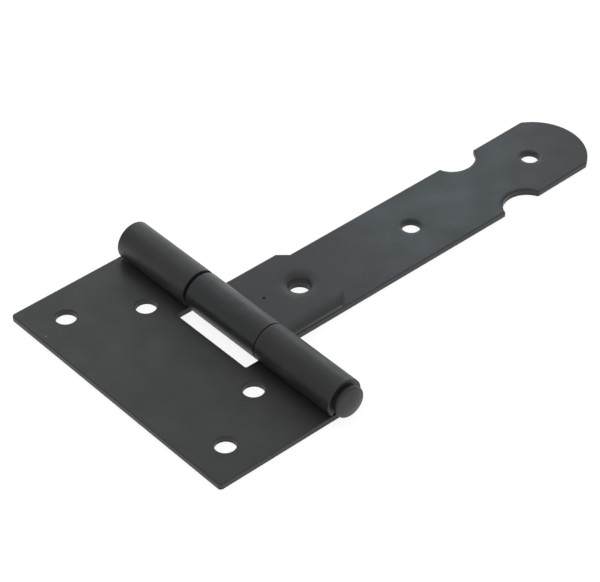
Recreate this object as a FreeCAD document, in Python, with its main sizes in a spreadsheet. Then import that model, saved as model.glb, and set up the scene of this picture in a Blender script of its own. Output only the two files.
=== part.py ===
# A tee hinge in folded steel sheet, modelled lying open on its back.
# The butt leaf lies on the -X side of the pin and the strap on the +X side.
# Z = 0 is the plane that the backs of the leaf and the strap share, Y runs along the pin,
# and the origin is on that plane, under the middle of the pin.
import FreeCAD, Part
import os
import math
import Sketcher
from FreeCAD import Vector

# Every size of the hinge, in millimetres.
SIZES = [
    ("sheet_thickness", 2.2, "both leaves, with their coat"),
    ("edge_break", 0.5, "broken edges of the sheet, along its face"),
    ("pin_diameter", 8.5, "shank of the pin"),
    ("pin_clearance", 0.05, "gap round the shank, on the radius"),
    ("leaf_height", 100, "butt leaf along the pin"),
    ("leaf_reach", 47.5, "pin axis to the butt leaf's free edge"),
    ("leaf_corner_radius", 1.2, "free corners of the butt leaf"),
    ("leaf_roll_gap", 0.25, "end of the butt leaf's roll to its own face"),
    ("slot_gap", 3.1, "strap knuckle to the slot's long edge"),
    ("slot_corner_radius", 0.6, "inner corners of the slot"),
    ("slot_play", 1.4, "slot length over the strap knuckle's width"),
    ("screw_hole_diameter", 6.8, "every screw hole"),
    ("outer_hole_reach", 35.5, "pin axis to the butt leaf's outer holes"),
    ("outer_hole_spacing", 76, "between the outer holes"),
    ("inner_hole_reach", 14.1, "pin axis to the butt leaf's inner holes"),
    ("inner_hole_spacing", 51, "between the inner holes"),
    ("knuckle_width", 31.8, "strap knuckle and its folded tail"),
    ("knuckle_foot", 8, "pin axis to where the strap narrows"),
    ("strap_shift", -0.45, "strap's place in the slot, along the pin"),
    ("strap_width", 30.4, "strap beyond the knuckle"),
    ("strap_reach", 147.5, "pin axis to the strap's tip"),
    ("tip_radius", 17.5, "rounded end of the strap"),
    ("notch_to_tip", 39.1, "middle of the notches to the strap's tip"),
    ("notch_radius", 8.25, "arc of each notch"),
    ("notch_depth", 5.6, "depth of each notch from the strap's edge"),
    ("first_hole_reach", 26.5, "pin axis to the strap's first hole"),
    ("second_hole_to_tip", 74.3, "the strap's second hole to its tip"),
    ("third_hole_to_tip", 20.2, "the strap's third hole to its tip"),
    ("tail_reach", 34, "pin axis to the end of the folded tail"),
    ("tail_chamfer", 4, "cut corners of the tail"),
    ("tail_hole_diameter", 8.2, "wider hole in the tail, over the first hole"),
    ("tail_edge_radius", 0.6, "rounding of the tail's upper edges"),
    ("tail_bend_radius", 3, "bend from the roll down onto the strap"),
    ("lap_gap", 0.1, "between the tail and the strap under it"),
    ("head_diameter", 11.3, "widest part of the pin's head"),
    ("head_rim", 2.4, "knuckle end to the widest part of the head"),
    ("head_dome", 1.3, "height of the dome over the widest part"),
    ("head_seat_diameter", 10.2, "flat seat of the head on the knuckle's end"),
    ("head_rim_radius", 0.6, "rounding of the head's rim"),
    ("pin_recess", 0.4, "far end of the pin below the knuckle's end"),
    ("pin_chamfer", 0.5, "chamfer at the far end of the pin"),
]

# Places worked out from those sizes, as the formulas that the sketches use.
BORE_RADIUS = "(sizes.pin_diameter / 2 + sizes.pin_clearance)"
BARREL_RADIUS = "(" + BORE_RADIUS + " + sizes.sheet_thickness)"
SLOT_LENGTH = "(sizes.knuckle_width + sizes.slot_play)"
TAIL_UNDER = "(sizes.sheet_thickness + sizes.lap_gap)"
TAIL_TOP = "(2 * sizes.sheet_thickness + sizes.lap_gap)"
BEND_HEIGHT = "(" + TAIL_TOP + " + sizes.tail_bend_radius)"
NOTCH_SIDE = "(sizes.strap_width / 2 + sizes.notch_radius - sizes.notch_depth)"
NOTCH_REACH = "(sizes.strap_reach - sizes.notch_to_tip)"
FIRST_HOLE_REACH = "sizes.first_hole_reach"
SECOND_HOLE_REACH = "(sizes.strap_reach - sizes.second_hole_to_tip)"
THIRD_HOLE_REACH = "(sizes.strap_reach - sizes.third_hole_to_tip)"

# Point numbers on a sketch element.
START, END, CENTRE = 1, 2, 3
ROOT_POINT = -1

doc = FreeCAD.newDocument("tee_hinge")


def make_sheet():
    """The table of sizes, one alias for each."""
    sheet = doc.addObject("Spreadsheet::Sheet", "sizes")
    for row, (alias, value, meaning) in enumerate(SIZES, start=1):
        sheet.set("A%d" % row, alias)
        sheet.set("B%d" % row, str(value))
        sheet.set("C%d" % row, meaning)
        sheet.setAlias("B%d" % row, alias)
    doc.recompute()
    return sheet


sizes = make_sheet()


def value(formula):
    """What a formula of the sizes comes to, in millimetres."""
    return float(sizes.evalExpression(formula.replace("sizes.", "")))


def make_body(label):
    """An empty body for one piece."""
    body = doc.addObject("PartDesign::Body", label)
    body.Label = label
    return body


def make_sketch(body, name, plane):
    """A sketch on one of the body's own origin planes."""
    sketch = body.newObject("Sketcher::SketchObject", name)
    support = [item for item in body.Origin.OriginFeatures if item.Role == plane][0]
    sketch.AttachmentSupport = (support, [""])
    sketch.MapMode = "FlatFace"
    return sketch


def tie(sketch, kind, references, name, formula):
    """A dimension that follows a formula of the sizes."""
    index = sketch.addConstraint(Sketcher.Constraint(kind, *references, value(formula)))
    sketch.renameConstraint(index, name)
    sketch.setExpression("Constraints." + name, formula)


def place(sketch, element, point, name, across, up):
    """Ties a point's two distances from the sketch's origin."""
    tie(sketch, "DistanceX", (ROOT_POINT, START, element, point), name + "_across", across)
    tie(sketch, "DistanceY", (ROOT_POINT, START, element, point), name + "_up", up)


def add_line(sketch, start, end):
    """A straight edge between two (across, up) points."""
    return sketch.addGeometry(Part.LineSegment(Vector(*start, 0), Vector(*end, 0)), False)


def add_arc(sketch, centre, radius, first, last):
    """An arc that runs counter-clockwise from one angle to the other, in radians."""
    circle = Part.Circle(Vector(*centre, 0), Vector(0, 0, 1), radius)
    return sketch.addGeometry(Part.ArcOfCircle(circle, first, last), False)


def join(sketch, first, first_point, second, second_point):
    """Makes two end points one."""
    sketch.addConstraint(
        Sketcher.Constraint("Coincident", first, first_point, second, second_point)
    )


def blend(sketch, first, first_point, second, second_point):
    """Makes two end points one, with no corner between them."""
    sketch.addConstraint(
        Sketcher.Constraint("Tangent", first, first_point, second, second_point)
    )


def add_hole(sketch, name, across, up, diameter):
    """A round hole in a plan sketch."""
    centre = Vector(value(across), value(up), 0)
    circle = Part.Circle(centre, Vector(0, 0, 1), value(diameter) / 2)
    hole = sketch.addGeometry(circle, False)
    place(sketch, hole, CENTRE, name, across, up)
    tie(sketch, "Diameter", (hole,), name + "_diameter", diameter)


def polar(centre, radius, angle):
    """The point at an angle on a circle."""
    return (centre[0] + radius * math.cos(angle), centre[1] + radius * math.sin(angle))


def make_pad(body, name, sketch, length, middle=False):
    """Material from a sketch, to one side or both sides alike."""
    pad = body.newObject("PartDesign::Pad", name)
    pad.Profile = sketch
    pad.SideType = "Symmetric" if middle else "One side"
    pad.setExpression("Length", length)
    doc.recompute()
    return pad


def make_pocket(body, name, sketch):
    """A cut from a sketch that goes right through, both ways."""
    before = body.Shape.Volume
    pocket = body.newObject("PartDesign::Pocket", name)
    pocket.Profile = sketch
    pocket.Type = "ThroughAll"
    pocket.SideType = "Symmetric"
    doc.recompute()
    if not body.Shape.Volume < before:
        raise RuntimeError(name + " cut nothing")
    return pocket


def picked_edges(base, chosen):
    """The names of a feature's edges that a test picks."""
    edges = base.Shape.Edges
    names = ["Edge%d" % number for number, edge in enumerate(edges, start=1) if chosen(edge)]
    if not names:
        raise RuntimeError("no edge of " + base.Name + " fits the test")
    return names


def make_fillet(body, name, base, chosen, radius):
    """Rounds the edges of a feature that a test picks."""
    fillet = body.newObject("PartDesign::Fillet", name)
    fillet.Base = (base, picked_edges(base, chosen))
    fillet.setExpression("Radius", radius)
    doc.recompute()
    return fillet


def make_chamfer(body, name, base, chosen, size):
    """Cuts the corners of a feature that a test picks."""
    chamfer = body.newObject("PartDesign::Chamfer", name)
    chamfer.Base = (base, picked_edges(base, chosen))
    chamfer.setExpression("Size", size)
    doc.recompute()
    return chamfer


def level(edge, height):
    """Whether a whole edge lies at one height."""
    box = edge.BoundBox
    return abs(box.ZMin - height) < 1e-4 and abs(box.ZMax - height) < 1e-4


# The butt leaf: one sheet whose edge is rolled up and over the pin, back onto its own face.
def leaf_section(body):
    """The sheet's section across the pin, from the free edge to the end of the roll."""
    sketch = make_sketch(body, "leaf_section", "XZ_Plane")
    thickness = value("sizes.sheet_thickness")
    reach = value("sizes.leaf_reach")
    outer = value(BARREL_RADIUS)
    inner = value(BORE_RADIUS)
    centre = (0, outer)
    rise = outer - thickness - value("sizes.leaf_roll_gap")
    roll_end = math.pi + math.asin(rise / outer)
    bottom = -math.pi / 2

    back = add_line(sketch, (-reach, 0), (0, 0))
    outside = add_arc(sketch, centre, outer, bottom, roll_end)
    lip = add_line(sketch, polar(centre, outer, roll_end), polar(centre, inner, roll_end))
    inside = add_arc(sketch, centre, inner, bottom, roll_end)
    face = add_line(sketch, (0, thickness), (-reach, thickness))
    edge = add_line(sketch, (-reach, thickness), (-reach, 0))

    join(sketch, back, END, outside, START)
    join(sketch, outside, END, lip, START)
    join(sketch, lip, END, inside, END)
    join(sketch, inside, START, face, START)
    join(sketch, face, END, edge, START)
    join(sketch, edge, END, back, START)
    place(sketch, outside, START, "back_end", "0", "0")
    place(sketch, back, START, "back_start", "-sizes.leaf_reach", "0")
    place(sketch, outside, CENTRE, "axis", "0", BARREL_RADIUS)
    join(sketch, inside, CENTRE, outside, CENTRE)
    place(sketch, inside, START, "face_start", "0", "sizes.sheet_thickness")
    place(sketch, face, END, "face_end", "-sizes.leaf_reach", "sizes.sheet_thickness")
    lip_height = "sizes.sheet_thickness + sizes.leaf_roll_gap"
    tie(sketch, "DistanceY", (ROOT_POINT, START, lip, START), "lip_height", lip_height)
    sketch.addConstraint(Sketcher.Constraint("PointOnObject", outside, CENTRE, lip))
    return sketch


def slot_outline(body):
    """The slot in plan: it takes the sheet away round the strap's knuckle."""
    sketch = make_sketch(body, "slot_outline", "XY_Plane")
    left = "-(" + BARREL_RADIUS + " + sizes.slot_gap)"
    right = "2 * " + BARREL_RADIUS
    low = "-" + SLOT_LENGTH + " / 2"
    high = SLOT_LENGTH + " / 2"
    corners = [(left, low), (right, low), (right, high), (left, high)]
    points = [(value(across), value(up)) for across, up in corners]
    lines = [add_line(sketch, points[i], points[(i + 1) % 4]) for i in range(4)]
    for i in range(4):
        join(sketch, lines[i], END, lines[(i + 1) % 4], START)
        place(sketch, lines[i], START, "corner_%d" % (i + 1), *corners[i])
    return sketch


def leaf_holes(body):
    """Four screw holes: a wide pair near the free edge and a narrow pair by the knuckles."""
    sketch = make_sketch(body, "leaf_holes", "XY_Plane")
    for pair in ("outer", "inner"):
        across = "-sizes." + pair + "_hole_reach"
        half = "sizes." + pair + "_hole_spacing / 2"
        add_hole(sketch, pair + "_near", across, "-" + half, "sizes.screw_hole_diameter")
        add_hole(sketch, pair + "_far", across, half, "sizes.screw_hole_diameter")
    return sketch


def upright_at(edge, across, up):
    """Whether an edge stands upright at a place in plan."""
    box = edge.BoundBox
    standing = box.XLength < 1e-4 and box.YLength < 1e-4
    return standing and abs(box.XMin - across) < 1e-3 and abs(abs(box.YMin) - up) < 1e-3


def make_butt_leaf():
    body = make_body("butt_leaf")
    make_pad(body, "rolled_sheet", leaf_section(body), "sizes.leaf_height", middle=True)
    slot = make_pocket(body, "slot", slot_outline(body))
    slot_edge = -value(BARREL_RADIUS) - value("sizes.slot_gap")
    slot_end = value(SLOT_LENGTH) / 2
    inner = make_fillet(
        body,
        "slot_corners",
        slot,
        lambda edge: upright_at(edge, slot_edge, slot_end),
        "sizes.slot_corner_radius",
    )
    free_edge = -value("sizes.leaf_reach")
    free_end = value("sizes.leaf_height") / 2
    make_fillet(
        body,
        "free_corners",
        inner,
        lambda edge: upright_at(edge, free_edge, free_end),
        "sizes.leaf_corner_radius",
    )
    holes = make_pocket(body, "screw_holes", leaf_holes(body))
    thickness = value("sizes.sheet_thickness")
    make_chamfer(
        body,
        "broken_edges",
        holes,
        lambda edge: level(edge, thickness) and edge.BoundBox.XMax < -1e-3,
        "sizes.edge_break",
    )
    return body


# The strap: a flat bar whose end rolls under and round the pin the other way,
# and comes down over the bar as a doubled tail.
def knuckle_section(body):
    """The roll and the tail across the pin."""
    sketch = make_sketch(body, "knuckle_section", "XZ_Plane")
    thickness = value("sizes.sheet_thickness")
    foot = value("sizes.knuckle_foot")
    tail = value("sizes.tail_reach")
    outer = value(BARREL_RADIUS)
    inner = value(BORE_RADIUS)
    bend = value("sizes.tail_bend_radius")
    top = value(TAIL_TOP)
    under = value(TAIL_UNDER)
    height = value(BEND_HEIGHT)
    centre = (0, outer)
    turn = math.asin((height - outer) / (outer + bend))
    bend_centre = ((outer + bend) * math.cos(turn), height)
    bottom = 1.5 * math.pi

    back = add_line(sketch, (foot, 0), (0, 0))
    outside = add_arc(sketch, centre, outer, turn, bottom)
    fold_top = add_arc(sketch, bend_centre, bend, turn + math.pi, bottom)
    tail_top = add_line(sketch, (bend_centre[0], top), (tail, top))
    tail_end = add_line(sketch, (tail, top), (tail, under))
    tail_under = add_line(sketch, (tail, under), (bend_centre[0], under))
    fold_under = add_arc(sketch, bend_centre, bend + thickness, turn + math.pi, bottom)
    inside = add_arc(sketch, centre, inner, turn, bottom)
    face = add_line(sketch, (0, thickness), (foot, thickness))
    step = add_line(sketch, (foot, thickness), (foot, 0))

    join(sketch, back, END, outside, END)
    join(sketch, tail_top, END, tail_end, START)
    join(sketch, tail_end, END, tail_under, START)
    join(sketch, inside, END, face, START)
    join(sketch, face, END, step, START)
    join(sketch, step, END, back, START)
    join(sketch, inside, CENTRE, outside, CENTRE)
    blend(sketch, outside, START, fold_top, START)
    blend(sketch, fold_top, END, tail_top, START)
    blend(sketch, inside, START, fold_under, START)
    blend(sketch, fold_under, END, tail_under, END)
    sketch.addConstraint(
        Sketcher.Constraint("Vertical", fold_under, CENTRE, fold_top, CENTRE)
    )
    place(sketch, back, START, "foot", "sizes.knuckle_foot", "0")
    place(sketch, back, END, "roll_start", "0", "0")
    place(sketch, outside, CENTRE, "axis", "0", BARREL_RADIUS)
    place(sketch, inside, END, "bore_start", "0", "sizes.sheet_thickness")
    place(sketch, face, END, "step_top", "sizes.knuckle_foot", "sizes.sheet_thickness")
    place(sketch, tail_top, END, "tail_top", "sizes.tail_reach", TAIL_TOP)
    place(sketch, tail_end, END, "tail_under", "sizes.tail_reach", TAIL_UNDER)
    tie(sketch, "Radius", (fold_top,), "bend_radius", "sizes.tail_bend_radius")
    sketch.addConstraint(Sketcher.Constraint("Horizontal", tail_top))
    sketch.addConstraint(Sketcher.Constraint("Horizontal", tail_under))
    return sketch


def strap_outline(body):
    """The flat bar in plan: straight sides, a notch each side near the end, a round tip."""
    sketch = make_sketch(body, "strap_outline", "XY_Plane")
    half = value("sizes.strap_width") / 2
    tip_radius = value("sizes.tip_radius")
    tip_centre = value("sizes.strap_reach") - tip_radius
    notch = value(NOTCH_REACH)
    notch_radius = value("sizes.notch_radius")
    notch_side = value(NOTCH_SIDE)
    notch_half = math.sqrt(notch_radius ** 2 - (notch_side - half) ** 2)
    shoulder = tip_centre + math.sqrt(tip_radius ** 2 - half ** 2)
    tip_angle = math.asin(half / tip_radius)
    notch_angle = math.asin((notch_side - half) / notch_radius)

    start = add_line(sketch, (0, half), (0, -half))
    near_side = add_line(sketch, (0, -half), (notch - notch_half, -half))
    near_notch = add_arc(
        sketch, (notch, -notch_side), notch_radius, notch_angle, math.pi - notch_angle
    )
    near_end = add_line(sketch, (notch + notch_half, -half), (shoulder, -half))
    tip = add_arc(sketch, (tip_centre, 0), tip_radius, -tip_angle, tip_angle)
    far_end = add_line(sketch, (shoulder, half), (notch + notch_half, half))
    far_notch = add_arc(
        sketch, (notch, notch_side), notch_radius, math.pi + notch_angle, 2 * math.pi - notch_angle
    )
    far_side = add_line(sketch, (notch - notch_half, half), (0, half))

    join(sketch, start, END, near_side, START)
    join(sketch, near_side, END, near_notch, END)
    join(sketch, near_notch, START, near_end, START)
    join(sketch, near_end, END, tip, START)
    join(sketch, tip, END, far_end, START)
    join(sketch, far_end, END, far_notch, END)
    join(sketch, far_notch, START, far_side, START)
    join(sketch, far_side, END, start, START)
    for line in (near_side, near_end, far_end, far_side):
        sketch.addConstraint(Sketcher.Constraint("Horizontal", line))
    place(sketch, start, END, "near_corner", "0", "-sizes.strap_width / 2")
    place(sketch, start, START, "far_corner", "0", "sizes.strap_width / 2")
    place(sketch, near_notch, CENTRE, "near_notch", NOTCH_REACH, "-" + NOTCH_SIDE)
    place(sketch, far_notch, CENTRE, "far_notch", NOTCH_REACH, NOTCH_SIDE)
    place(sketch, tip, CENTRE, "tip", "sizes.strap_reach - sizes.tip_radius", "0")
    tie(sketch, "Radius", (tip,), "tip_radius", "sizes.tip_radius")
    tie(sketch, "Radius", (near_notch,), "near_notch_radius", "sizes.notch_radius")
    tie(sketch, "Radius", (far_notch,), "far_notch_radius", "sizes.notch_radius")
    for line, name in ((near_end, "near_end"), (far_end, "far_end")):
        side = "-sizes.strap_width / 2" if line == near_end else "sizes.strap_width / 2"
        tie(sketch, "DistanceY", (ROOT_POINT, START, line, START), name + "_side", side)
    add_hole(sketch, "first_hole", FIRST_HOLE_REACH, "0", "sizes.screw_hole_diameter")
    add_hole(sketch, "second_hole", SECOND_HOLE_REACH, "0", "sizes.screw_hole_diameter")
    add_hole(sketch, "third_hole", THIRD_HOLE_REACH, "0", "sizes.screw_hole_diameter")
    return sketch


def tail_hole(body):
    """The tail's own hole, wider than the screw hole under it."""
    sketch = make_sketch(body, "tail_hole", "XY_Plane")
    add_hole(sketch, "hole", FIRST_HOLE_REACH, "0", "sizes.tail_hole_diameter")
    return sketch


def make_strap():
    body = make_body("strap")
    rolled = make_pad(
        body, "rolled_knuckle", knuckle_section(body), "sizes.knuckle_width", middle=True
    )
    tail = value("sizes.tail_reach")
    side = value("sizes.knuckle_width") / 2
    make_chamfer(
        body,
        "tail_corners",
        rolled,
        lambda edge: upright_at(edge, tail, side),
        "sizes.tail_chamfer",
    )
    hole = make_pocket(body, "tail_hole_cut", tail_hole(body))
    top = value(TAIL_TOP)
    make_fillet(
        body,
        "soft_tail",
        hole,
        lambda edge: level(edge, top),
        "sizes.tail_edge_radius",
    )
    bar = make_pad(body, "flat_bar", strap_outline(body), "sizes.sheet_thickness")
    thickness = value("sizes.sheet_thickness")
    make_chamfer(
        body,
        "broken_edges",
        bar,
        lambda edge: level(edge, thickness) and edge.BoundBox.XMax > tail,
        "sizes.edge_break",
    )
    body.setExpression("Placement.Base.y", "sizes.strap_shift")
    return body


# The pin: a plain shank with a low domed head, a little narrower where it meets the knuckle.
def pin_profile(body):
    """Half of the pin's section, with its axis along the sketch's upward line."""
    sketch = make_sketch(body, "pin_profile", "XY_Plane")
    shank = "sizes.pin_diameter / 2"
    knuckle_end = "-sizes.leaf_height / 2"
    rim = "-(sizes.leaf_height / 2 + sizes.head_rim)"
    far_end = "sizes.leaf_height / 2 - sizes.pin_recess"
    corners = [
        ("rim", "sizes.head_diameter / 2", rim),
        ("seat", "sizes.head_seat_diameter / 2", knuckle_end),
        ("shank_start", shank, knuckle_end),
        ("shank_end", shank, far_end + " - sizes.pin_chamfer"),
        ("far_edge", shank + " - sizes.pin_chamfer", far_end),
        ("far_middle", "0", far_end),
        ("crown", "0", rim + " - sizes.head_dome"),
    ]
    points = [(value(across), value(up)) for name, across, up in corners]
    lines = [add_line(sketch, points[i], points[i + 1]) for i in range(len(points) - 1)]
    for i in range(1, len(lines)):
        join(sketch, lines[i - 1], END, lines[i], START)
        place(sketch, lines[i], START, *corners[i])
    place(sketch, lines[0], START, *corners[0])
    place(sketch, lines[-1], END, *corners[-1])

    half_width = value("sizes.head_diameter") / 2
    rise = value("sizes.head_dome")
    dome_radius = (half_width ** 2 + rise ** 2) / (2 * rise)
    dome_centre = (0, points[-1][1] + dome_radius)
    last = math.asin(half_width / dome_radius) - math.pi / 2
    dome = add_arc(sketch, dome_centre, dome_radius, -math.pi / 2, last)
    join(sketch, dome, START, lines[-1], END)
    join(sketch, dome, END, lines[0], START)
    tie(sketch, "DistanceX", (ROOT_POINT, START, dome, CENTRE), "dome_axis", "0")
    return sketch


def make_hinge_pin():
    body = make_body("hinge_pin")
    sketch = pin_profile(body)
    turned = body.newObject("PartDesign::Revolution", "turned_pin")
    turned.Profile = sketch
    turned.ReferenceAxis = (sketch, ["V_Axis"])
    turned.Angle = 360
    doc.recompute()
    rim = -value("sizes.leaf_height") / 2 - value("sizes.head_rim")
    make_fillet(
        body,
        "soft_rim",
        turned,
        lambda edge: abs(edge.BoundBox.YMin - rim) < 1e-3 and abs(edge.BoundBox.YMax - rim) < 1e-3,
        "sizes.head_rim_radius",
    )
    body.setExpression("Placement.Base.z", BARREL_RADIUS)
    return body


def check_and_write(bodies):
    """Stops on a failed feature or a bad solid, then writes one STEP file for each piece."""
    doc.recompute()
    for item in doc.Objects:
        if "Invalid" in item.State or "Error" in item.State:
            raise RuntimeError(item.Name + " failed: " + ", ".join(item.State))
    for body in bodies:
        if body.Shape.isNull() or not body.Shape.isValid() or len(body.Shape.Solids) != 1:
            raise RuntimeError(body.Label + " is not one good solid")
    os.makedirs("parts", exist_ok=True)
    for body in bodies:
        body.Shape.exportStep("parts/" + body.Label + ".step")
        box = body.Shape.BoundBox
        corners = (box.XMin, box.YMin, box.ZMin, box.XMax, box.YMax, box.ZMax)
        print(body.Label, "volume %.1f" % body.Shape.Volume, [round(c, 2) for c in corners])


check_and_write([make_butt_leaf(), make_strap(), make_hinge_pin()])
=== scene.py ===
# %% [markdown]
# # A black tee hinge
# A tee hinge joins a gate or a cupboard door to its post. It is three pieces of steel under one black
# powder coat: a rectangular butt leaf, a long strap that makes the T, and the pin that both are rolled round.
# The CAD model gives the places and sizes. Here each piece gets the form and finish that the eye looks for:
# soft coated edges, a smoothly rolled barrel, a turned pin, and a coat with its own fine texture.
# Lengths are written in millimetres, as a maker would, and turned into metres where a mesh is made.

import bpy
import bmesh
import math
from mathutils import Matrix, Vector


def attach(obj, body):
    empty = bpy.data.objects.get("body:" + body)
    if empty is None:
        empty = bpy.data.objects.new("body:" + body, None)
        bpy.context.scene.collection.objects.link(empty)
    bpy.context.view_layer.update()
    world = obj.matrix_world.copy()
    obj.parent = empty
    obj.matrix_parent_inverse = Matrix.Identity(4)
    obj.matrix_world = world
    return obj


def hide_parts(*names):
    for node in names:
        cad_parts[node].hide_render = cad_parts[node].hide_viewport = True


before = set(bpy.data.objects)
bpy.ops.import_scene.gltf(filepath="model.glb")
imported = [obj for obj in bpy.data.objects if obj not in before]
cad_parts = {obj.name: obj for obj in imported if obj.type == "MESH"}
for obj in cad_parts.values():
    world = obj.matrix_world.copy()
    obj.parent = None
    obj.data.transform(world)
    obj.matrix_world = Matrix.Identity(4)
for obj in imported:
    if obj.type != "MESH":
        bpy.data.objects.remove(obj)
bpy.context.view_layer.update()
MM = 0.001

# %% [markdown]
# ## The camera
# The photograph was taken from well back with a long lens, from the free side of the butt leaf and about 40
# degrees above it. A camera is easiest to place with a position, a point to aim at, and a small roll about
# its own axis. All three were worked out from the hinge's edges and holes, so the mesh and the photograph
# share one view.

# %% Camera
CAMERA_PLACE = Vector((-351.56, -440.03, 491.3)) * MM
CAMERA_AIM = Vector((23.56, -3.45, 5.0)) * MM
CAMERA_ROLL = math.radians(0.976)
CAMERA_LENS = 146.93
SENSOR_WIDTH = 36
NEAREST_SEEN = 10 * MM

camera_data = bpy.data.cameras.new("camera")
camera_data.lens = CAMERA_LENS
camera_data.sensor_width = SENSOR_WIDTH
camera_data.clip_start = NEAREST_SEEN
camera = bpy.data.objects.new("camera", camera_data)
bpy.context.scene.collection.objects.link(camera)
towards = (CAMERA_AIM - CAMERA_PLACE).normalized()
level_right = towards.cross(Vector((0, 0, 1))).normalized()
level_up = level_right.cross(towards)
right = level_right * math.cos(CAMERA_ROLL) - level_up * math.sin(CAMERA_ROLL)
up = level_up * math.cos(CAMERA_ROLL) + level_right * math.sin(CAMERA_ROLL)
matrix = camera.matrix_world.copy()
for row in range(3):
    matrix[row][0] = right[row]
    matrix[row][1] = up[row]
    matrix[row][2] = -towards[row]
    matrix[row][3] = CAMERA_PLACE[row]
camera.matrix_world = matrix
bpy.context.scene.camera = camera
print("camera is %.0f mm from its aim" % ((CAMERA_AIM - CAMERA_PLACE).length / MM))

# %% [markdown]
# ## How sheet steel becomes a leaf
# A press punches a flat blank with its holes, and a second tool rolls one edge round. The same two steps
# work in Blender. A polygon outline with a rounded rim is made first, flat. Then every point past the roll's
# start is moved onto a circle round the pin. Modelling the roll as a bent blank keeps the coat's soft rim
# running unbroken from the flat into the barrel, which a cylinder joined to a plate would not.
#
# The first helpers make outlines: straight corners and arcs, as lists of (along, across) points.

# %% Outline helpers
SCREW_HOLE = 6.8
HOLE_STEPS = 72
SAME_PLACE = 1e-4


def arc(centre, radius, first, last, steps):
    """Points on an arc, from one angle to another in degrees."""
    points = []
    for step in range(steps + 1):
        angle = math.radians(first + (last - first) * step / steps)
        points.append((centre[0] + radius * math.cos(angle), centre[1] + radius * math.sin(angle)))
    return points


def hole(place, diameter):
    """A round hole, wound the other way from an outline so that the sheet stays on its left."""
    return arc(place, diameter / 2, 360, 0, HOLE_STEPS)[:-1]


def without_repeats(points):
    """Drops a point that lies on the one before it."""
    kept = []
    for point in points:
        if not kept or math.dist(point, kept[-1]) > SAME_PLACE:
            kept.append(point)
    if math.dist(kept[0], kept[-1]) < SAME_PLACE:
        kept.pop()
    return kept


print("a hole of", SCREW_HOLE, "mm has", len(hole((0, 0), SCREW_HOLE)), "points")

# %% [markdown]
# A punched and coated rim isn't sharp. Each outline is stacked as a column of rings that lean inwards at the
# back and at the face, on a quarter of an ellipse. A bevel modifier could round the rim too, but rings allow
# one rim at the back and another at the face, and let it change along the outline. The butt leaf's borders
# are softer than its holes and its slot, the punch has drawn the strap's face in at its holes and notches,
# and the near side of the strap's tail is the softest.
#
# At a sharp inner corner the step inwards would grow without end, so it has a limit.

# %% Soft rims
SHEET = 2.2
RIM_STEPS = 7
SHARPEST_CORNER = 0.3


def inward(points):
    """For each point of a closed outline, the step that moves its two sides inwards by one unit."""
    steps = []
    for i, point in enumerate(points):
        before = Vector(point) - Vector(points[i - 1])
        after = Vector(points[(i + 1) % len(points)]) - Vector(point)
        first = Vector((-before.y, before.x)).normalized()
        second = Vector((-after.y, after.x)).normalized()
        middle = (first + second).normalized()
        steps.append(middle / max(SHARPEST_CORNER, middle.dot(first)))
    return steps


def even(radius):
    """A quarter-round rim, as wide as it is deep."""
    return (radius, radius)


def rim_ring(bm, points, steps, rims, share, at_face):
    """One ring of a rim: share 0 is on the wall and share 1 on the flat. A rim is (width, depth)."""
    angle = share * math.pi / 2
    ring = []
    for point, step, (width, depth) in zip(points, steps, rims):
        inset = width * (1 - math.cos(angle))
        fall = depth * (1 - math.sin(angle))
        height = SHEET - fall if at_face else fall
        ring.append(bm.verts.new((point[0] + step.x * inset, point[1] + step.y * inset, height)))
    return ring


print("the sheet is", SHEET, "mm thick, and a rim is rounded in", RIM_STEPS, "steps")

# %% [markdown]
# The blank is those rings, joined by bands of faces, with the two flats filled in between the last rings.
# The rims come in as functions of a point, so each leaf can say for itself where it is soft.

# %% Punched blank


def close_rings(bm, lower, upper):
    """Joins two rings with a band of faces."""
    count = len(lower)
    for i in range(count):
        j = (i + 1) % count
        bm.faces.new((lower[i], lower[j], upper[j], upper[i]))


def punched_blank(outlines, back_rim, face_rim):
    """A flat sheet between height 0 and SHEET, with every rim rounded."""
    bm = bmesh.new()
    back_edges, face_edges = [], []
    shares = [step / RIM_STEPS for step in range(RIM_STEPS + 1)]
    for points in outlines:
        steps = inward(points)
        back_rims = [back_rim(point) for point in points]
        face_rims = [face_rim(point) for point in points]
        rings = [rim_ring(bm, points, steps, back_rims, share, False) for share in reversed(shares)]
        rings += [rim_ring(bm, points, steps, face_rims, share, True) for share in shares]
        for lower, upper in zip(rings, rings[1:]):
            close_rings(bm, lower, upper)
        for ring, edges in ((rings[0], back_edges), (rings[-1], face_edges)):
            edges += [bm.edges.get((ring[i - 1], ring[i])) for i in range(len(ring))]
    for edges in (back_edges, face_edges):
        bmesh.ops.triangle_fill(bm, use_beauty=True, edges=edges)
    bmesh.ops.recalc_face_normals(bm, faces=bm.faces)
    return bm


print("each outline of a blank is", 2 * (RIM_STEPS + 1), "rings high")

# %% [markdown]
# ## The butt leaf
# The butt leaf is screwed to the post. Its blank is a rectangle with four screw holes. A slot for the
# strap's knuckle leaves two tongues, and those are rolled up, over the pin and back down until they almost
# touch the leaf. In the blank, "along" is X up to the pin, and beyond that the length round the roll at the
# middle of the sheet, where rolled steel neither stretches nor shrinks. Two small faults of the press are
# in it as well: the slot is a little narrower in the flat than between the knuckles, and the far knuckle's
# end isn't quite square, so it leans in as it goes round.

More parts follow.
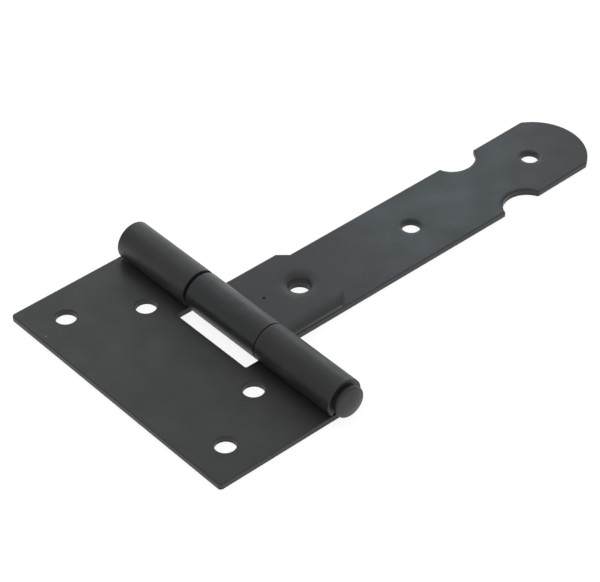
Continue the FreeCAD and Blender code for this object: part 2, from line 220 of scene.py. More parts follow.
# %% Outline of the butt leaf
LEAF_HALF_HEIGHT = 50.0
LEAF_REACH = 47.5
FREE_CORNER = 1.2
SLOT_EDGE = -9.6
SLOT_HALF = 16.6
SLOT_FAR = 16.2
SLOT_STEP = 1.0
SLOT_CORNER = 0.6
FAR_KNUCKLE = 16.85
FAR_DRAW = 1.1
LIP_GAP = 0.25
OUTER_HOLES = (-35.5, 38.0)
INNER_HOLES = (-14.1, 25.5)
FREE_CORNER_STEPS, SLOT_CORNER_STEPS = 10, 8
BORE_RADIUS = 4.3
BARREL_RADIUS = BORE_RADIUS + SHEET
MIDDLE_RADIUS = BORE_RADIUS + SHEET / 2
LEAF_ROLL_ANGLE = 270 + math.degrees(math.asin((BARREL_RADIUS - SHEET - LIP_GAP) / BARREL_RADIUS))
LEAF_ROLL_LENGTH = math.radians(LEAF_ROLL_ANGLE) * MIDDLE_RADIUS

free_edge = -LEAF_REACH + FREE_CORNER
free_end = LEAF_HALF_HEIGHT - FREE_CORNER
slot_floor = SLOT_EDGE + SLOT_CORNER
leaf_outline = without_repeats(
    arc((free_edge, -free_end), FREE_CORNER, 180, 270, FREE_CORNER_STEPS)
    + [(LEAF_ROLL_LENGTH, -LEAF_HALF_HEIGHT), (LEAF_ROLL_LENGTH, -SLOT_HALF)]
    + arc((slot_floor, -SLOT_HALF + SLOT_CORNER), SLOT_CORNER, 270, 180, SLOT_CORNER_STEPS)
    + arc((slot_floor, SLOT_FAR - SLOT_CORNER), SLOT_CORNER, 180, 90, SLOT_CORNER_STEPS)
    + [(-SLOT_STEP, SLOT_FAR), (SLOT_STEP, FAR_KNUCKLE), (LEAF_ROLL_LENGTH, FAR_KNUCKLE)]
    + [(LEAF_ROLL_LENGTH, LEAF_HALF_HEIGHT - FAR_DRAW), (0, LEAF_HALF_HEIGHT)]
    + arc((free_edge, free_end), FREE_CORNER, 90, 180, FREE_CORNER_STEPS)
)
leaf_holes = []
for along, across in (OUTER_HOLES, INNER_HOLES):
    leaf_holes += [hole((along, side * across), SCREW_HOLE) for side in (-1, 1)]
print("the butt leaf's blank is %.1f mm long before rolling" % (LEAF_REACH + LEAF_ROLL_LENGTH))

# %% [markdown]
# The coat gathers on an edge, so the rims are where a coated leaf differs most from a drawn one. The free
# border is the softest. The holes and the slot are tighter, and at the back they are almost sharp.

# %% Rims of the butt leaf
FACE_RIM = even(0.35)
BACK_RIM = even(0.45)
ROLL_RIM = even(0.25)
PUNCHED_FACE_RIM = even(0.3)
PUNCHED_BACK_RIM = even(0.1)
# How near to a border a point still belongs to it.
MARGIN = 1.0


def on_leaf_border(point):
    """Whether a point is on the leaf's three free sides, and not at a hole or the slot."""
    return point[0] < -LEAF_REACH + 2 * FREE_CORNER or abs(point[1]) > LEAF_HALF_HEIGHT - MARGIN


def leaf_back_rim(point):
    """The back of the leaf is the outside of the roll, where the knuckles keep a tighter edge."""
    if point[0] > 0:
        return ROLL_RIM
    return BACK_RIM if on_leaf_border(point) else PUNCHED_BACK_RIM


def leaf_face_rim(point):
    """The face is a little softer at the border than where the sheet is punched."""
    return FACE_RIM if on_leaf_border(point) else PUNCHED_FACE_RIM


leaf_bm = punched_blank([leaf_outline] + leaf_holes, leaf_back_rim, leaf_face_rim)
print("the butt leaf's blank has", len(leaf_bm.faces), "faces before rolling")

# %% [markdown]
# ## From a blank to a piece
# A finished mesh becomes an object that takes the place of a CAD node: it replaces the node, and rides on the
# node's body so that it moves with the joint. The faces are shaded smooth. Weighted normals then keep the
# large flats flat right up to their soft rims.

# %% Finish a piece


def finished_piece(bm, name, body, node):
    """Turns a mesh in millimetres into a piece that replaces a CAD node and rides on its body."""
    bmesh.ops.scale(bm, vec=(MM, MM, MM), verts=bm.verts)
    bmesh.ops.recalc_face_normals(bm, faces=bm.faces)
    mesh = bpy.data.meshes.new(name)
    bm.to_mesh(mesh)
    bm.free()
    for face in mesh.polygons:
        face.use_smooth = True
    piece = bpy.data.objects.new(name, mesh)
    bpy.context.scene.collection.objects.link(piece)
    weighted = piece.modifiers.new("flat_faces_stay_flat", "WEIGHTED_NORMAL")
    weighted.mode = "FACE_AREA"
    weighted.keep_sharp = True
    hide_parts(node)
    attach(piece, body)
    size = [round(v / MM, 2) for v in piece.dimensions]
    print(name, "faces:", len(mesh.polygons), "size in mm:", size)
    return piece


print("pieces to finish:", len(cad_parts))

# %% [markdown]
# Rolling is a change of coordinates. A point's distance past the roll's start becomes an angle, and its
# height in the sheet becomes a distance from the pin: the back of the sheet ends up outside, the face
# inside. A long flat face can't bend by itself, so the blank is first cut straight across every few degrees.

# %% Roll the butt leaf round the pin
BEND_STEP = math.radians(4.5) * MIDDLE_RADIUS
ON_THE_CUT = 1e-5


def cut_across(bm, places):
    """Cuts the blank straight across at each place, so that it can bend there."""
    for place in places:
        everything = bm.verts[:] + bm.edges[:] + bm.faces[:]
        bmesh.ops.bisect_plane(
            bm, geom=everything, plane_co=(place, 0, 0), plane_no=(1, 0, 0), dist=ON_THE_CUT
        )


def bends_up_to(length):
    """The places along a roll where the sheet bends, starting at 0."""
    return [BEND_STEP * i for i in range(int(length / BEND_STEP) + 1)]


def on_roll(length, across, height, turn):
    """Where a point of the blank goes on the roll. The turn is 1 for a roll that rises on the +X side."""
    angle = length / MIDDLE_RADIUS
    reach = BARREL_RADIUS - height
    return Vector((turn * reach * math.sin(angle), across, BARREL_RADIUS - reach * math.cos(angle)))


cut_across(leaf_bm, bends_up_to(LEAF_ROLL_LENGTH))
for vert in leaf_bm.verts:
    if vert.co.x > 0:
        vert.co = on_roll(vert.co.x, vert.co.y, vert.co.z, 1)
butt_leaf = finished_piece(leaf_bm, "butt_leaf_rolled", "butt", "butt_leaf")

# %% [markdown]
# ## The strap
# The strap is screwed to the gate. Its bar has two half-round notches and a rounded tip, for looks. At the
# pin it rolls the other way: down under the pin, round its near side and over the top. There a reverse bend
# brings it down onto the bar again as a doubled tail, and the first screw passes through both layers, which
# stops the roll from opening under load.
#
# All lengths of the roll and the tail follow from the pin, the sheet and the place where the tail ends. The
# inside of the reverse bend is a circle that touches the barrel and the top of the tail at once.

# %% Sizes of the strap
STRAP_HALF = 15.2
STRAP_REACH = 147.5
STRAP_SHIFT = -0.45
TIP_RADIUS = 17.5
NOTCH_REACH = 108.4
NOTCH_RADIUS = 8.25
NOTCH_DEPTH = 5.5
KNUCKLE_HALF = 15.9
KNUCKLE_FOOT = 8.0
TAIL_REACH = 34.0
TAIL_CORNER = 4.0
TAIL_BEND = 3.0
LAP_GAP = 0.1
TAIL_TOP = 2 * SHEET + LAP_GAP
BEND_TURN = math.asin((TAIL_TOP + TAIL_BEND - BARREL_RADIUS) / (BARREL_RADIUS + TAIL_BEND))
BEND_ALONG = (BARREL_RADIUS + TAIL_BEND) * math.cos(BEND_TURN)
ROLL_LENGTH = (1.5 * math.pi - BEND_TURN) * MIDDLE_RADIUS
BEND_LENGTH = (math.pi / 2 - BEND_TURN) * (TAIL_BEND + SHEET / 2)
TAIL_START = ROLL_LENGTH + BEND_LENGTH
BLANK_END = -(TAIL_START + TAIL_REACH - BEND_ALONG)
print("the strap's blank is %.1f mm long before rolling" % (STRAP_REACH - BLANK_END))

# %% [markdown]
# The strip isn't punched and rolled perfectly. The tail is a little narrower than the knuckle on its near
# side, the bar bends sideways by half a millimetre towards its tip, and the roll drifts a little to one
# side. These faults are small, but the eye takes a strap without them for a drawing. So the outline is drawn
# as it should be, one side as the mirror image of the other, and each point is then moved by its fault.

# %% Outline of the strap
ROLL_DRIFT = 0.15
TAIL_NARROWING = 0.5
NARROW_FROM = 3.0
BAR_SHIFT = -0.2
CAMBER = 0.000125
CAMBER_START = 60
# The last corner before the bar lies just on the roll's side, because the rim changes there.
ROLL_FOOT = 0.01
CURVE_STEPS = 36

notch_side = STRAP_HALF + NOTCH_RADIUS - NOTCH_DEPTH
notch_angle = math.degrees(math.asin((notch_side - STRAP_HALF) / NOTCH_RADIUS))
tip_angle = math.degrees(math.asin(STRAP_HALF / TIP_RADIUS))
near_side = (
    [(BLANK_END, -KNUCKLE_HALF + TAIL_CORNER), (BLANK_END + TAIL_CORNER, -KNUCKLE_HALF)]
    + [(along, -KNUCKLE_HALF) for along in (-TAIL_START - NARROW_FROM, -ROLL_LENGTH, -ROLL_FOOT)]
    + [(KNUCKLE_FOOT, -KNUCKLE_HALF), (KNUCKLE_FOOT, -STRAP_HALF)]
    + arc((NOTCH_REACH, -notch_side), NOTCH_RADIUS, 180 - notch_angle, notch_angle, CURVE_STEPS)
    + arc((STRAP_REACH - TIP_RADIUS, 0), TIP_RADIUS, -tip_angle, 0, CURVE_STEPS)
)
far_side = [(along, -across) for along, across in reversed(near_side)]


def as_punched(point):
    """Moves a point to where the press put it: the tail's near side comes in, and the bar stands a little
    off the knuckle's middle and bends very slightly sideways towards its tip."""
    along, across = point
    if along < -ROLL_LENGTH - MARGIN and across < 0:
        return (along, across + TAIL_NARROWING)
    if along < KNUCKLE_FOOT or abs(across) >= KNUCKLE_HALF:
        return point
    return (along, across + BAR_SHIFT + CAMBER * max(0, along - CAMBER_START) ** 2)


strap_outline = without_repeats([as_punched(point) for point in near_side + far_side])
print("the strap's outline has", len(strap_outline), "points")

# %% [markdown]
# The first screw goes through the tail and the bar. Both layers have a wider hole there, so that they line up
# however the fold comes out, and the tail's is dished for the screw's head. The other two holes are plain,
# and the punch has drawn the face of the bar in round them and along the notches.

# %% Holes and rims of the strap
FOLD_PLACE, FOLD_HOLE = (26.2, 0.3), 6.9
MIDDLE_PLACE, MIDDLE_HOLE = (73.2, -0.15), 6.15
TIP_PLACE, TIP_HOLE = (127.3, 0.2), 5.9
TAIL_PLACE = (-(TAIL_START + FOLD_PLACE[0] - BEND_ALONG), FOLD_PLACE[1] - ROLL_DRIFT)
TAIL_HOLE = 7.1
TAIL_NEAR_RIM = (4.6, 1.05)
TAIL_FAR_RIM = even(0.5)
TAIL_END_RIM = even(0.03)
TAIL_HOLE_RIM = (4.0, 1.1)
DRAWN_RIM = (1.4, 0.36)
SEAM_RIM = even(0.2)
LAP_RIM = even(0.03)
NOTCH_LIP = 0.5
NOTCH_FADE = 2.0


def notch_share(along):
    """Grows from 0 at the corners of a notch to 1 inside it."""
    return min(1, max(0, (NOTCH_RADIUS - NOTCH_LIP - abs(along - NOTCH_REACH)) / NOTCH_FADE))


def strap_back_rim(point):
    """The back of the bar turns into the outside of the roll, and then into the top of the tail. The tail's
    near side is soft, its hole is dished, and its end is cut off sharp."""
    along, across = point
    if along > 0:
        return PUNCHED_BACK_RIM if abs(across) < SCREW_HOLE or notch_share(along) else BACK_RIM
    if along > -ROLL_LENGTH - MARGIN:
        return ROLL_RIM
    if along < BLANK_END + MARGIN:
        return TAIL_END_RIM
    if abs(across) < TAIL_HOLE:
        return TAIL_HOLE_RIM
    return TAIL_NEAR_RIM if across < 0 else TAIL_FAR_RIM


def strap_face_rim(point):
    """The punch draws the face in round a hole and along a notch. Where the tail lies on the bar, the rims
    at the hole and at the tail's end are pressed tight."""
    along, across = point
    if along > TAIL_REACH:
        if abs(across) < SCREW_HOLE and along < STRAP_REACH - SCREW_HOLE:
            return DRAWN_RIM
        drawn = notch_share(along)
        return tuple(free + drawn * (deep - free) for free, deep in zip(FACE_RIM, DRAWN_RIM))
    if abs(across) < TAIL_HOLE or along < BLANK_END + MARGIN:
        return LAP_RIM
    return FACE_RIM if along > 0 else SEAM_RIM


strap_holes = [hole(FOLD_PLACE, FOLD_HOLE), hole(MIDDLE_PLACE, MIDDLE_HOLE), hole(TIP_PLACE, TIP_HOLE)]
strap_holes.append(hole(TAIL_PLACE, TAIL_HOLE))
strap_bm = punched_blank([strap_outline] + strap_holes, strap_back_rim, strap_face_rim)
print("the strap's blank has", len(strap_bm.faces), "faces before rolling")

# %% [markdown]
# The strap's path has three parts after the bar: the roll, which is the butt leaf's with its turn the other
# way, the reverse bend on a smaller circle outside the roll, and the straight tail. One function gives the
# place of a point on any of them, so the soft rim and the thickness run on without a seam.

# %% Roll the strap and fold its tail
FOLD_STEPS = 16


def strap_place(length, across, height):
    """Where a point goes that lies some length past the roll's start. The strip drifts as it rolls."""
    across += ROLL_DRIFT * min(1, length / ROLL_LENGTH)
    if length < ROLL_LENGTH:
        return on_roll(length, across, height, -1)
    if length < TAIL_START:
        angle = BEND_TURN + math.pi + (length - ROLL_LENGTH) / (TAIL_BEND + SHEET / 2)
        reach = TAIL_BEND + height
        middle = TAIL_TOP + TAIL_BEND
        return Vector((BEND_ALONG + reach * math.cos(angle), across, middle + reach * math.sin(angle)))
    return Vector((BEND_ALONG + length - TAIL_START, across, TAIL_TOP - height))


bends = bends_up_to(ROLL_LENGTH) + [ROLL_LENGTH]
bends += [ROLL_LENGTH + BEND_LENGTH * i / FOLD_STEPS for i in range(1, FOLD_STEPS + 1)]
cut_across(strap_bm, [-length for length in bends])
for vert in strap_bm.verts:
    if vert.co.x < 0:
        vert.co = strap_place(-vert.co.x, vert.co.y, vert.co.z)
    vert.co.y += STRAP_SHIFT
strap = finished_piece(strap_bm, "strap_rolled", "swinging_strap", "strap")

# %% [markdown]
# ## The pin
# The pin is turned from rod, and its head is formed cold: a low dome over a rim that narrows again towards
# the knuckle, so a dark line shows between the two. Anything turned is made from half of its outline, spun
# round its axis. The outline's soft corners are arcs, because light finds every sharp edge.

# %% Outline of the pin
PIN_RADIUS = 4.25
PIN_NEAR = -50.0
PIN_FAR = 49.6
PIN_CHAMFER = 0.5
HEAD_RADIUS = 5.6
HEAD_SEAT = 4.7
HEAD_RIM = 2.4
HEAD_DOME = 1.3
HEAD_ROUND = 1.1
SEAT_ROUND = 0.2
DOME_STEPS, HEAD_STEPS, SEAT_STEPS = 16, 10, 4
DOME_GAP = 0.05


def soft_corner(before, corner, after, radius, steps):
    """An arc that replaces a corner of an outline."""
    first = (Vector(before) - Vector(corner)).normalized()
    second = (Vector(after) - Vector(corner)).normalized()
    half = math.acos(max(-1, min(1, first.dot(second)))) / 2
    centre = Vector(corner) + (first + second).normalized() * radius / math.sin(half)
    start = Vector(corner) + first * radius / math.tan(half) - centre
    end = Vector(corner) + second * radius / math.tan(half) - centre
    sweep = start.angle_signed(end)
    turned = []
    for step in range(steps + 1):
        angle = -sweep * step / steps
        x = start.x * math.cos(angle) - start.y * math.sin(angle)
        y = start.x * math.sin(angle) + start.y * math.cos(angle)
        turned.append((centre.x + x, centre.y + y))
    return turned


rim_place = PIN_NEAR - HEAD_RIM
seat = (HEAD_SEAT, PIN_NEAR)
shank_start = (PIN_RADIUS, PIN_NEAR)
dome_radius = (HEAD_RADIUS**2 + HEAD_DOME**2) / (2 * HEAD_DOME)
dome_centre = rim_place - HEAD_DOME + dome_radius
dome_angle = math.degrees(math.asin(HEAD_RADIUS / dome_radius))
dome = arc((0, dome_centre), dome_radius, -90, -90 + dome_angle, DOME_STEPS)
rim = soft_corner(dome[-2], dome[-1], seat, HEAD_ROUND, HEAD_STEPS)
pin_outline = [point for point in dome if point[0] < rim[0][0] - DOME_GAP] + rim
pin_outline += soft_corner(rim[-1], seat, shank_start, SEAT_ROUND, SEAT_STEPS)
pin_outline += [shank_start, (PIN_RADIUS, PIN_FAR - PIN_CHAMFER)]
pin_outline += [(PIN_RADIUS - PIN_CHAMFER, PIN_FAR), (0, PIN_FAR)]
print("the pin's outline has", len(pin_outline), "points")

# %% [markdown]
# Spinning the outline is what the lathe does. Both ends of the outline lie on the axis, where the copies of a
# point fall together, so they are merged into one.

# %% Spin the pin
PIN_STEPS = 96

pin_bm = bmesh.new()
pin_verts = [pin_bm.verts.new((reach, along, BARREL_RADIUS)) for reach, along in pin_outline]
pin_edges = [pin_bm.edges.new(pair) for pair in zip(pin_verts, pin_verts[1:])]
bmesh.ops.spin(
    pin_bm,
    geom=pin_verts + pin_edges,
    cent=(0, 0, BARREL_RADIUS),
    axis=(0, 1, 0),
    angle=2 * math.pi,
    steps=PIN_STEPS,
    use_merge=True,
)
bmesh.ops.remove_doubles(pin_bm, verts=pin_bm.verts, dist=SAME_PLACE)
hinge_pin = finished_piece(pin_bm, "hinge_pin_turned", "butt", "hinge_pin")

# %% [markdown]
# ## A short way to write a finish
# A finish in Blender is a net of small steps: one makes noise, one stretches a value to another range, one
# mixes two colours. Written out, each step takes several lines. This helper holds the net of one finish and
# adds a step in one line: a value for a step is either a plain number or colour, or what another step gives.

# %% Steps of a finish


class Finish:
    """The net of steps behind a material or the room. Each method adds a step and returns its result."""

    def __init__(self, owner):
        owner.use_nodes = True
        self.nodes = owner.node_tree.nodes
        self.links = owner.node_tree.links

    def fill(self, socket, value):
        """Joins a result to a socket, or writes a plain value into it."""
        if isinstance(value, bpy.types.NodeSocket):
            self.links.new(value, socket)
        else:
            socket.default_value = value

    def step(self, kind, values, result=0, **settings):
        """Any step: its kind, the values of its sockets, and which result is wanted."""
        node = self.nodes.new(kind)
        for setting, choice in settings.items():
            setattr(node, setting, choice)
        for socket, value in values.items():
            self.fill(node.inputs[socket], value)
        return node.outputs[result]

    def combined(self, operation, first, second):
        """Arithmetic on two numbers, such as MULTIPLY or MAXIMUM."""
        return self.step("ShaderNodeMath", {0: first, 1: second}, operation=operation)

    def between_points(self, operation, result, first, second):
        """Arithmetic on two points or directions, such as DISTANCE or SUBTRACT."""
        return self.step("ShaderNodeVectorMath", {0: first, 1: second}, result, operation=operation)

    def spread(self, value, low, high, to_low, to_high):
        """Stretches the range from low to high to another range, and stops at its ends."""
        values = {"Value": value, "From Min": low, "From Max": high, "To Min": to_low, "To Max": to_high}
        return self.step("ShaderNodeMapRange", values, "Result")

    def mixed(self, share, first, second):
        """Mixes two colours, each a (red, green, blue) or a result."""
        values = {"Factor": share}
        for socket, colour in (("A", first), ("B", second)):
            values[socket] = (*colour, 1) if isinstance(colour, tuple) else colour
        return self.step("ShaderNodeMix", values, "Result", data_type="RGBA")

    def ray(self, kind):
        """1 for rays of a kind, and 0 for the rest."""
        return self.step("ShaderNodeLightPath", {}, kind)


print("calls of a finish:", [name for name in vars(Finish) if not name.startswith("_")])

# %% [markdown]
# ## The powder coat
# Powder coat is plastic powder, sprayed on dry and baked until it flows. It never flows quite flat: a soft
# orange peel about a millimetre across stays, with a finer grain on top, and the gloss drifts a little from
# place to place. Black paint shows its form almost only by what it mirrors, so the roughness matters more
# than the colour here. Everything is made from noise in the object's own coordinates, so the grain has the
# same size on each piece and runs round the roll without a seam. A photographed texture would stretch there.
#
# Each kind of noise is (scale, detail, roughness), and a larger scale is a finer noise. The waves of a roll
# start at one height above the back and are full at another, because the flats were pressed flat.

# %% Powder coat
COLOUR_CLOUDS, COLOUR_RANGE = (45, 3, 0.5), (0.35, 0.65)
GLOSS_CLOUDS, GLOSS_RANGE = (110, 4, 0.5), (0.3, 0.7)
ORANGE_PEEL, PEEL_HEIGHT = (850, 1.5, 0.4), 0.03
GRAIN, GRAIN_HEIGHT = (5200, 2, 0.5), 0.004
ROLL_WAVES, WAVES_FROM, WAVES_FULL = (95, 1.5, 0.5), 5, 9
ROUGHNESS_DRIFT = 0.05
SPOT_CORE = 0.6
PLASTIC_IOR = 1.5


def powder_coat(name, dark, light, roughness, gloss, spots=(), roll_waves=0.0):
    """A satin powder coat. Each spot is (place in mm, radius in mm, colour, share of the gloss that it
    keeps). The height of the waves is in mm, and they run over the roll only."""
    material = bpy.data.materials.new(name)
    coat = Finish(material)
    shader = coat.nodes["Principled BSDF"]
    shader.inputs["IOR"].default_value = PLASTIC_IOR
    shader.inputs["Specular IOR Level"].default_value = gloss
    place = coat.step("ShaderNodeTexCoord", {}, "Object")

    def noise(scale, detail, rough):
        values = {"Vector": place, "Scale": scale, "Detail": detail, "Roughness": rough}
        return coat.step("ShaderNodeTexNoise", values, "Fac")

    colour = coat.mixed(coat.spread(noise(*COLOUR_CLOUDS), *COLOUR_RANGE, 0, 1), dark, light)
    layers = [(noise(*ORANGE_PEEL), PEEL_HEIGHT), (noise(*GRAIN), GRAIN_HEIGHT)]
    if roll_waves:
        height = coat.step("ShaderNodeSeparateXYZ", {0: place}, "Z")
        on_roll_only = coat.spread(height, WAVES_FROM * MM, WAVES_FULL * MM, 0, 1)
        layers.insert(0, (coat.combined("MULTIPLY", on_roll_only, noise(*ROLL_WAVES)), roll_waves))
    normal = None
    for height, depth in layers:
        bump = {"Strength": 1, "Distance": depth * MM, "Height": height}
        if normal is not None:
            bump["Normal"] = normal
        normal = coat.step("ShaderNodeBump", bump)
    for spot_place, spot_radius, spot_colour, gloss_kept in spots:
        away = coat.between_points("DISTANCE", "Value", place, Vector(spot_place) * MM)
        inside = coat.spread(away, SPOT_CORE * spot_radius * MM, spot_radius * MM, 1, 0)
        colour = coat.mixed(inside, colour, spot_colour)
        gloss = coat.combined("MULTIPLY", coat.spread(inside, 0, 1, 1, gloss_kept), gloss)
    drift = (roughness - ROUGHNESS_DRIFT, roughness + ROUGHNESS_DRIFT)
    coat.fill(shader.inputs["Specular IOR Level"], gloss)
    coat.fill(shader.inputs["Base Color"], colour)
    coat.fill(shader.inputs["Roughness"], coat.spread(noise(*GLOSS_CLOUDS), *GLOSS_RANGE, *drift))
    coat.fill(shader.inputs["Normal"], normal)
    print(name, "roughness about", roughness)
    return material


print("orange peel is", PEEL_HEIGHT, "mm high, and the grain", GRAIN_HEIGHT, "mm")

# %% [markdown]
# The three pieces don't shine alike. The strap is smoother than the butt leaf, and its roll is wavy. Its
# colour is a little bluer, a painted tint for the bluish light that its face mirrors. The pin mirrors the
# least.
#
# The coat has a few spots, each with its own place, size, colour and gloss: painted shade in a small dimple
# beside the roll, a painted highlight on top of it and one at its end, painted light on the shaded walls of
# the tail's hole, and a pale chip near the leaf's free edge, which is a mark of handling.

# %% Coat the three pieces
# A near-black spot with little gloss: painted shade in a small dimple of the coat beside the roll.
PAINTED_DIMPLE_SHADE = ((13.6, 2.0, 4.4), 0.65, (0.004, 0.004, 0.004), 0.1)
# A pale spot on top of the strap's roll: a painted highlight.
ROLL_PAINTED_HIGHLIGHT = ((2.1, -2.2, 12.6), 1.0, (0.050, 0.053, 0.051), 0.8)
# A lighter patch on the walls of the tail's hole: painted light where the walls are in shade.
PAINTED_HOLE_LIGHT = ((26.2, -0.2, 2.4), 4.0, (0.036, 0.037, 0.037), 0.9)
EDGE_CHIP = ((-45.5, 34.8, 2.2), 0.45, (0.13, 0.13, 0.13), 0.6)
# A pale spot at the top of the leaf's near knuckle, by its end: a painted highlight.
END_PAINTED_HIGHLIGHT = ((0.4, -17.0, 13.0), 0.7, (0.035, 0.036, 0.035), 0.8)

leaf_coat = powder_coat(
    "leaf_powder_coat",
    dark=(0.0126, 0.0130, 0.0122),
    light=(0.0182, 0.0187, 0.0174),
    roughness=0.48,
    gloss=0.48,
    spots=[EDGE_CHIP, END_PAINTED_HIGHLIGHT],
)
strap_coat = powder_coat(
    "strap_powder_coat",
    # The blue of these two colours is a painted tint for the bluish light that the strap's face mirrors.
    dark=(0.0118, 0.0130, 0.0138),
    light=(0.0168, 0.0185, 0.0198),
    roughness=0.42,
    gloss=0.455,
    spots=[PAINTED_DIMPLE_SHADE, ROLL_PAINTED_HIGHLIGHT, PAINTED_HOLE_LIGHT],
    roll_waves=0.7,
)
pin_coat = powder_coat(
    "pin_powder_coat",
    dark=(0.0126, 0.0130, 0.0128),
    light=(0.0182, 0.0187, 0.0184),
    roughness=0.46,
    gloss=0.42,
)
for piece, coat in ((butt_leaf, leaf_coat), (strap, strap_coat), (hinge_pin, pin_coat)):
    piece.data.materials.append(coat)

# %% [markdown]
# ## Floor and light
# Catalogue pictures stand on white under soft light. The floor is a plain white sheet. To the camera it is
# thin, like tracing paper: most of what is seen is the white room behind it, and the rest is the sheet with
# the hinge's shadow. That is because the strap can also swing below the floor, and has to be seen there.
# Further from the hinge than its shadow reaches, the sheet is quite clear to the camera, and so is its
# underside. Mirrored in the coat, the sheet glows a little, as bright paper does in a lit studio.

# %% White floor
PAPER = 0.9
PAPER_SEEN = 0.25
ROOM_SEEN = 0.8
GLOW_MIRRORED = 0.5
# Where the leaf and the strap lie, each as (centre, half size).
LEAF_PLACE = ((-20.5, -1.85), (27.0, 51.85))
STRAP_PLACE = ((73.75, -0.3), (73.75, 16.0))
SHADOW_FADES, SHADOW_ENDS = 4.0, 8.0


def outside(sheet, centre, half_size):
    """How far a point of the floor is outside a rectangle."""
    centre, half_size = (Vector((*lengths, 0)) * MM for lengths in (centre, half_size))
    place = sheet.step("ShaderNodeTexCoord", {}, "Object")
    offset = sheet.between_points("SUBTRACT", "Vector", place, centre)
    offset = sheet.step("ShaderNodeVectorMath", {0: offset}, "Vector", operation="ABSOLUTE")
    offset = sheet.between_points("SUBTRACT", "Vector", offset, half_size)
    along, across = (sheet.step("ShaderNodeSeparateXYZ", {0: offset}, axis) for axis in "XY")
    return sheet.combined("MAXIMUM", along, across)


def white_floor_material():
    """White paper that the camera sees through, and that glows a little in mirror images."""
    material = bpy.data.materials.new("white_floor")
    sheet = Finish(material)
    sheet.nodes.remove(sheet.nodes["Principled BSDF"])
    seen, mirrored = sheet.ray("Is Camera Ray"), sheet.ray("Is Glossy Ray")
    paper = sheet.step("ShaderNodeBsdfDiffuse", {"Color": sheet.spread(seen, 0, 1, PAPER, PAPER_SEEN)})
    glow = sheet.step("ShaderNodeEmission", {"Strength": sheet.spread(mirrored, 0, 1, 0, GLOW_MIRRORED)})
    seen_through = sheet.step("ShaderNodeBsdfTransparent", {"Color": sheet.spread(seen, 0, 1, 0, ROOM_SEEN)})
    lit = sheet.step("ShaderNodeAddShader", {0: paper, 1: glow})
    tracing_paper = sheet.step("ShaderNodeAddShader", {0: lit, 1: seen_through})
    from_hinge = sheet.combined("MINIMUM", outside(sheet, *LEAF_PLACE), outside(sheet, *STRAP_PLACE))
    past_shadow = sheet.spread(from_hinge, SHADOW_FADES * MM, SHADOW_ENDS * MM, 0, 1)
    underside = sheet.step("ShaderNodeNewGeometry", {}, "Backfacing")
    clear = sheet.combined("MAXIMUM", sheet.combined("MULTIPLY", past_shadow, seen), underside)
    nothing = sheet.step("ShaderNodeBsdfTransparent", {})
    surface = sheet.step("ShaderNodeMixShader", {0: clear, 1: tracing_paper, 2: nothing})
    sheet.fill(sheet.nodes["Material Output"].inputs["Surface"], surface)
    return material


FLOOR_HALF = 4.0
FLOOR_DROP = 0.02
floor_mesh = bpy.data.meshes.new("white_floor")
corners = [(x * FLOOR_HALF, y * FLOOR_HALF) for x, y in ((-1, -1), (1, -1), (1, 1), (-1, 1))]
floor_mesh.from_pydata([(x, y, -FLOOR_DROP * MM) for x, y in corners], [], [(0, 1, 2, 3)])
floor_mesh.materials.append(white_floor_material())
floor = bpy.data.objects.new("white_floor", floor_mesh)
bpy.context.scene.collection.objects.link(floor)
print("the floor is %.0f m wide" % (2 * FLOOR_HALF))

# %% [markdown]
# The room is a soft grey surround with two brighter walls. The back wall stands behind the hinge, low down:
# the flat faces mirror it, and it draws the long highlight on the barrel, while the leaf stays dark beside
# the barrel, which it mirrors there instead. The front wall stands to the right of the camera, and the soft
# near edges mirror it. Walls could be modelled and lit. Painted into the surround, they fade softly at their
# edges and throw no shadow. The camera sees the room as plain white, whatever the walls are to the coat.

# %% Room
BACK_WALL, BACK_SPREAD, BACK_LIGHT = Vector((0.740, 0.667, -0.087)), (0.6, 1.0), (0.58, 1.45)
FRONT_WALL, FRONT_SPREAD, FRONT_LIGHT = Vector((0.490, -0.700, 0.520)), (0.60, 0.95), (1.0, 1.6)
SEEN_WHITE = 1.05

world = bpy.data.worlds.new("white_room")
bpy.context.scene.world = world
room = Finish(world)
room_direction = room.step("ShaderNodeTexCoord", {}, "Generated")


def wall_light(wall, reach, light):
    """The room's brightness by how nearly a direction points at the middle of a wall."""
    nearness = room.between_points("DOT_PRODUCT", "Value", room_direction, wall)
    return room.spread(nearness, *reach, *light)


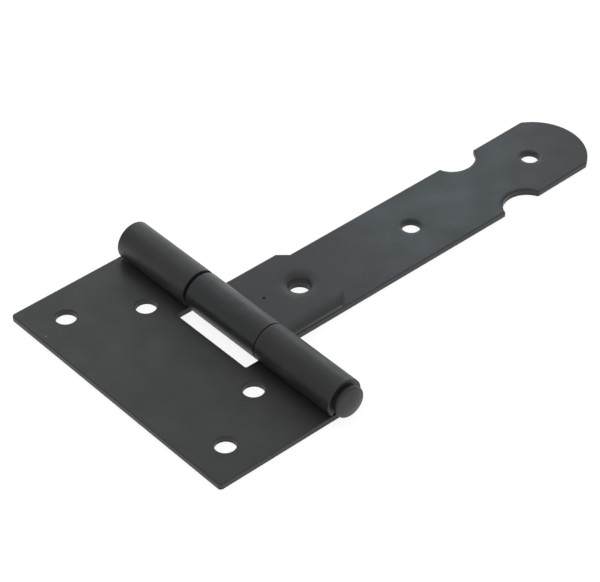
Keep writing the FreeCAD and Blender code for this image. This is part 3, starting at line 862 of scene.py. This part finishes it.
back_light = wall_light(BACK_WALL, BACK_SPREAD, BACK_LIGHT)
front_light = wall_light(FRONT_WALL, FRONT_SPREAD, FRONT_LIGHT)
walls = room.combined("MULTIPLY", back_light, front_light)
background = room.nodes["Background"]
background.inputs["Color"].default_value = (1, 1, 1, 1)
room.fill(background.inputs["Strength"], room.spread(room.ray("Is Camera Ray"), 0, 1, walls, SEEN_WHITE))
print("the room's strength is", BACK_LIGHT[0], "away from the walls and", BACK_LIGHT[1], "at the back wall")

# %% [markdown]
# Four softboxes add to the walls. Two small ones lift the middle of the strap, a little blue, and the far
# end of the leaf. A wide one over the camera and one above give the matt share of the coat its light. A
# lamp is easiest to think of from the hinge: which point it lights, and where it stands from there.

# %% Softboxes


def softbox(name, aim, azimuth, elevation, distance, size, power, colour):
    """A soft rectangular lamp. Its aim is in mm, its angles in degrees, its distance and size in metres."""
    data = bpy.data.lights.new(name, "AREA")
    data.shape = "RECTANGLE"
    data.size, data.size_y = size
    data.energy = power
    data.color = colour
    lamp = bpy.data.objects.new(name, data)
    bpy.context.scene.collection.objects.link(lamp)
    turn, rise = math.radians(azimuth), math.radians(elevation)
    away = Vector((math.cos(turn) * math.cos(rise), math.sin(turn) * math.cos(rise), math.sin(rise)))
    lamp.location = Vector(aim) * MM + away * distance
    lamp.visible_camera = False
    lamp.rotation_mode = "QUATERNION"
    lamp.rotation_quaternion = away.to_track_quat("Z", "Y")
    print(name, "stands %.2f m away" % distance)


WHITE, BLUISH, COOL = (1.0, 1.0, 1.0), (0.60, 0.84, 1.0), (0.85, 0.97, 1.0)
softbox("strap_softbox", (94, 16, 0), 44, 37, distance=0.26, size=(0.07, 0.07), power=0.052, colour=BLUISH)
softbox("far_softbox", (-30, 50, 0), 57, 40, distance=0.30, size=(0.10, 0.10), power=0.045, colour=COOL)
softbox("front_softbox", (0, 0, 0), 215, 35, distance=1.0, size=(0.8, 0.6), power=1.6, colour=WHITE)
softbox("top_softbox", (30, 0, 0), 100, 68, distance=1.6, size=(1.6, 1.2), power=1.5, colour=WHITE)
bpy.context.scene.view_settings.view_transform = "Standard"

# %% [markdown]
# ## Size
# The dressed hinge is meant to stay the size of the CAD model; each finished piece prints its size in
# millimetres.
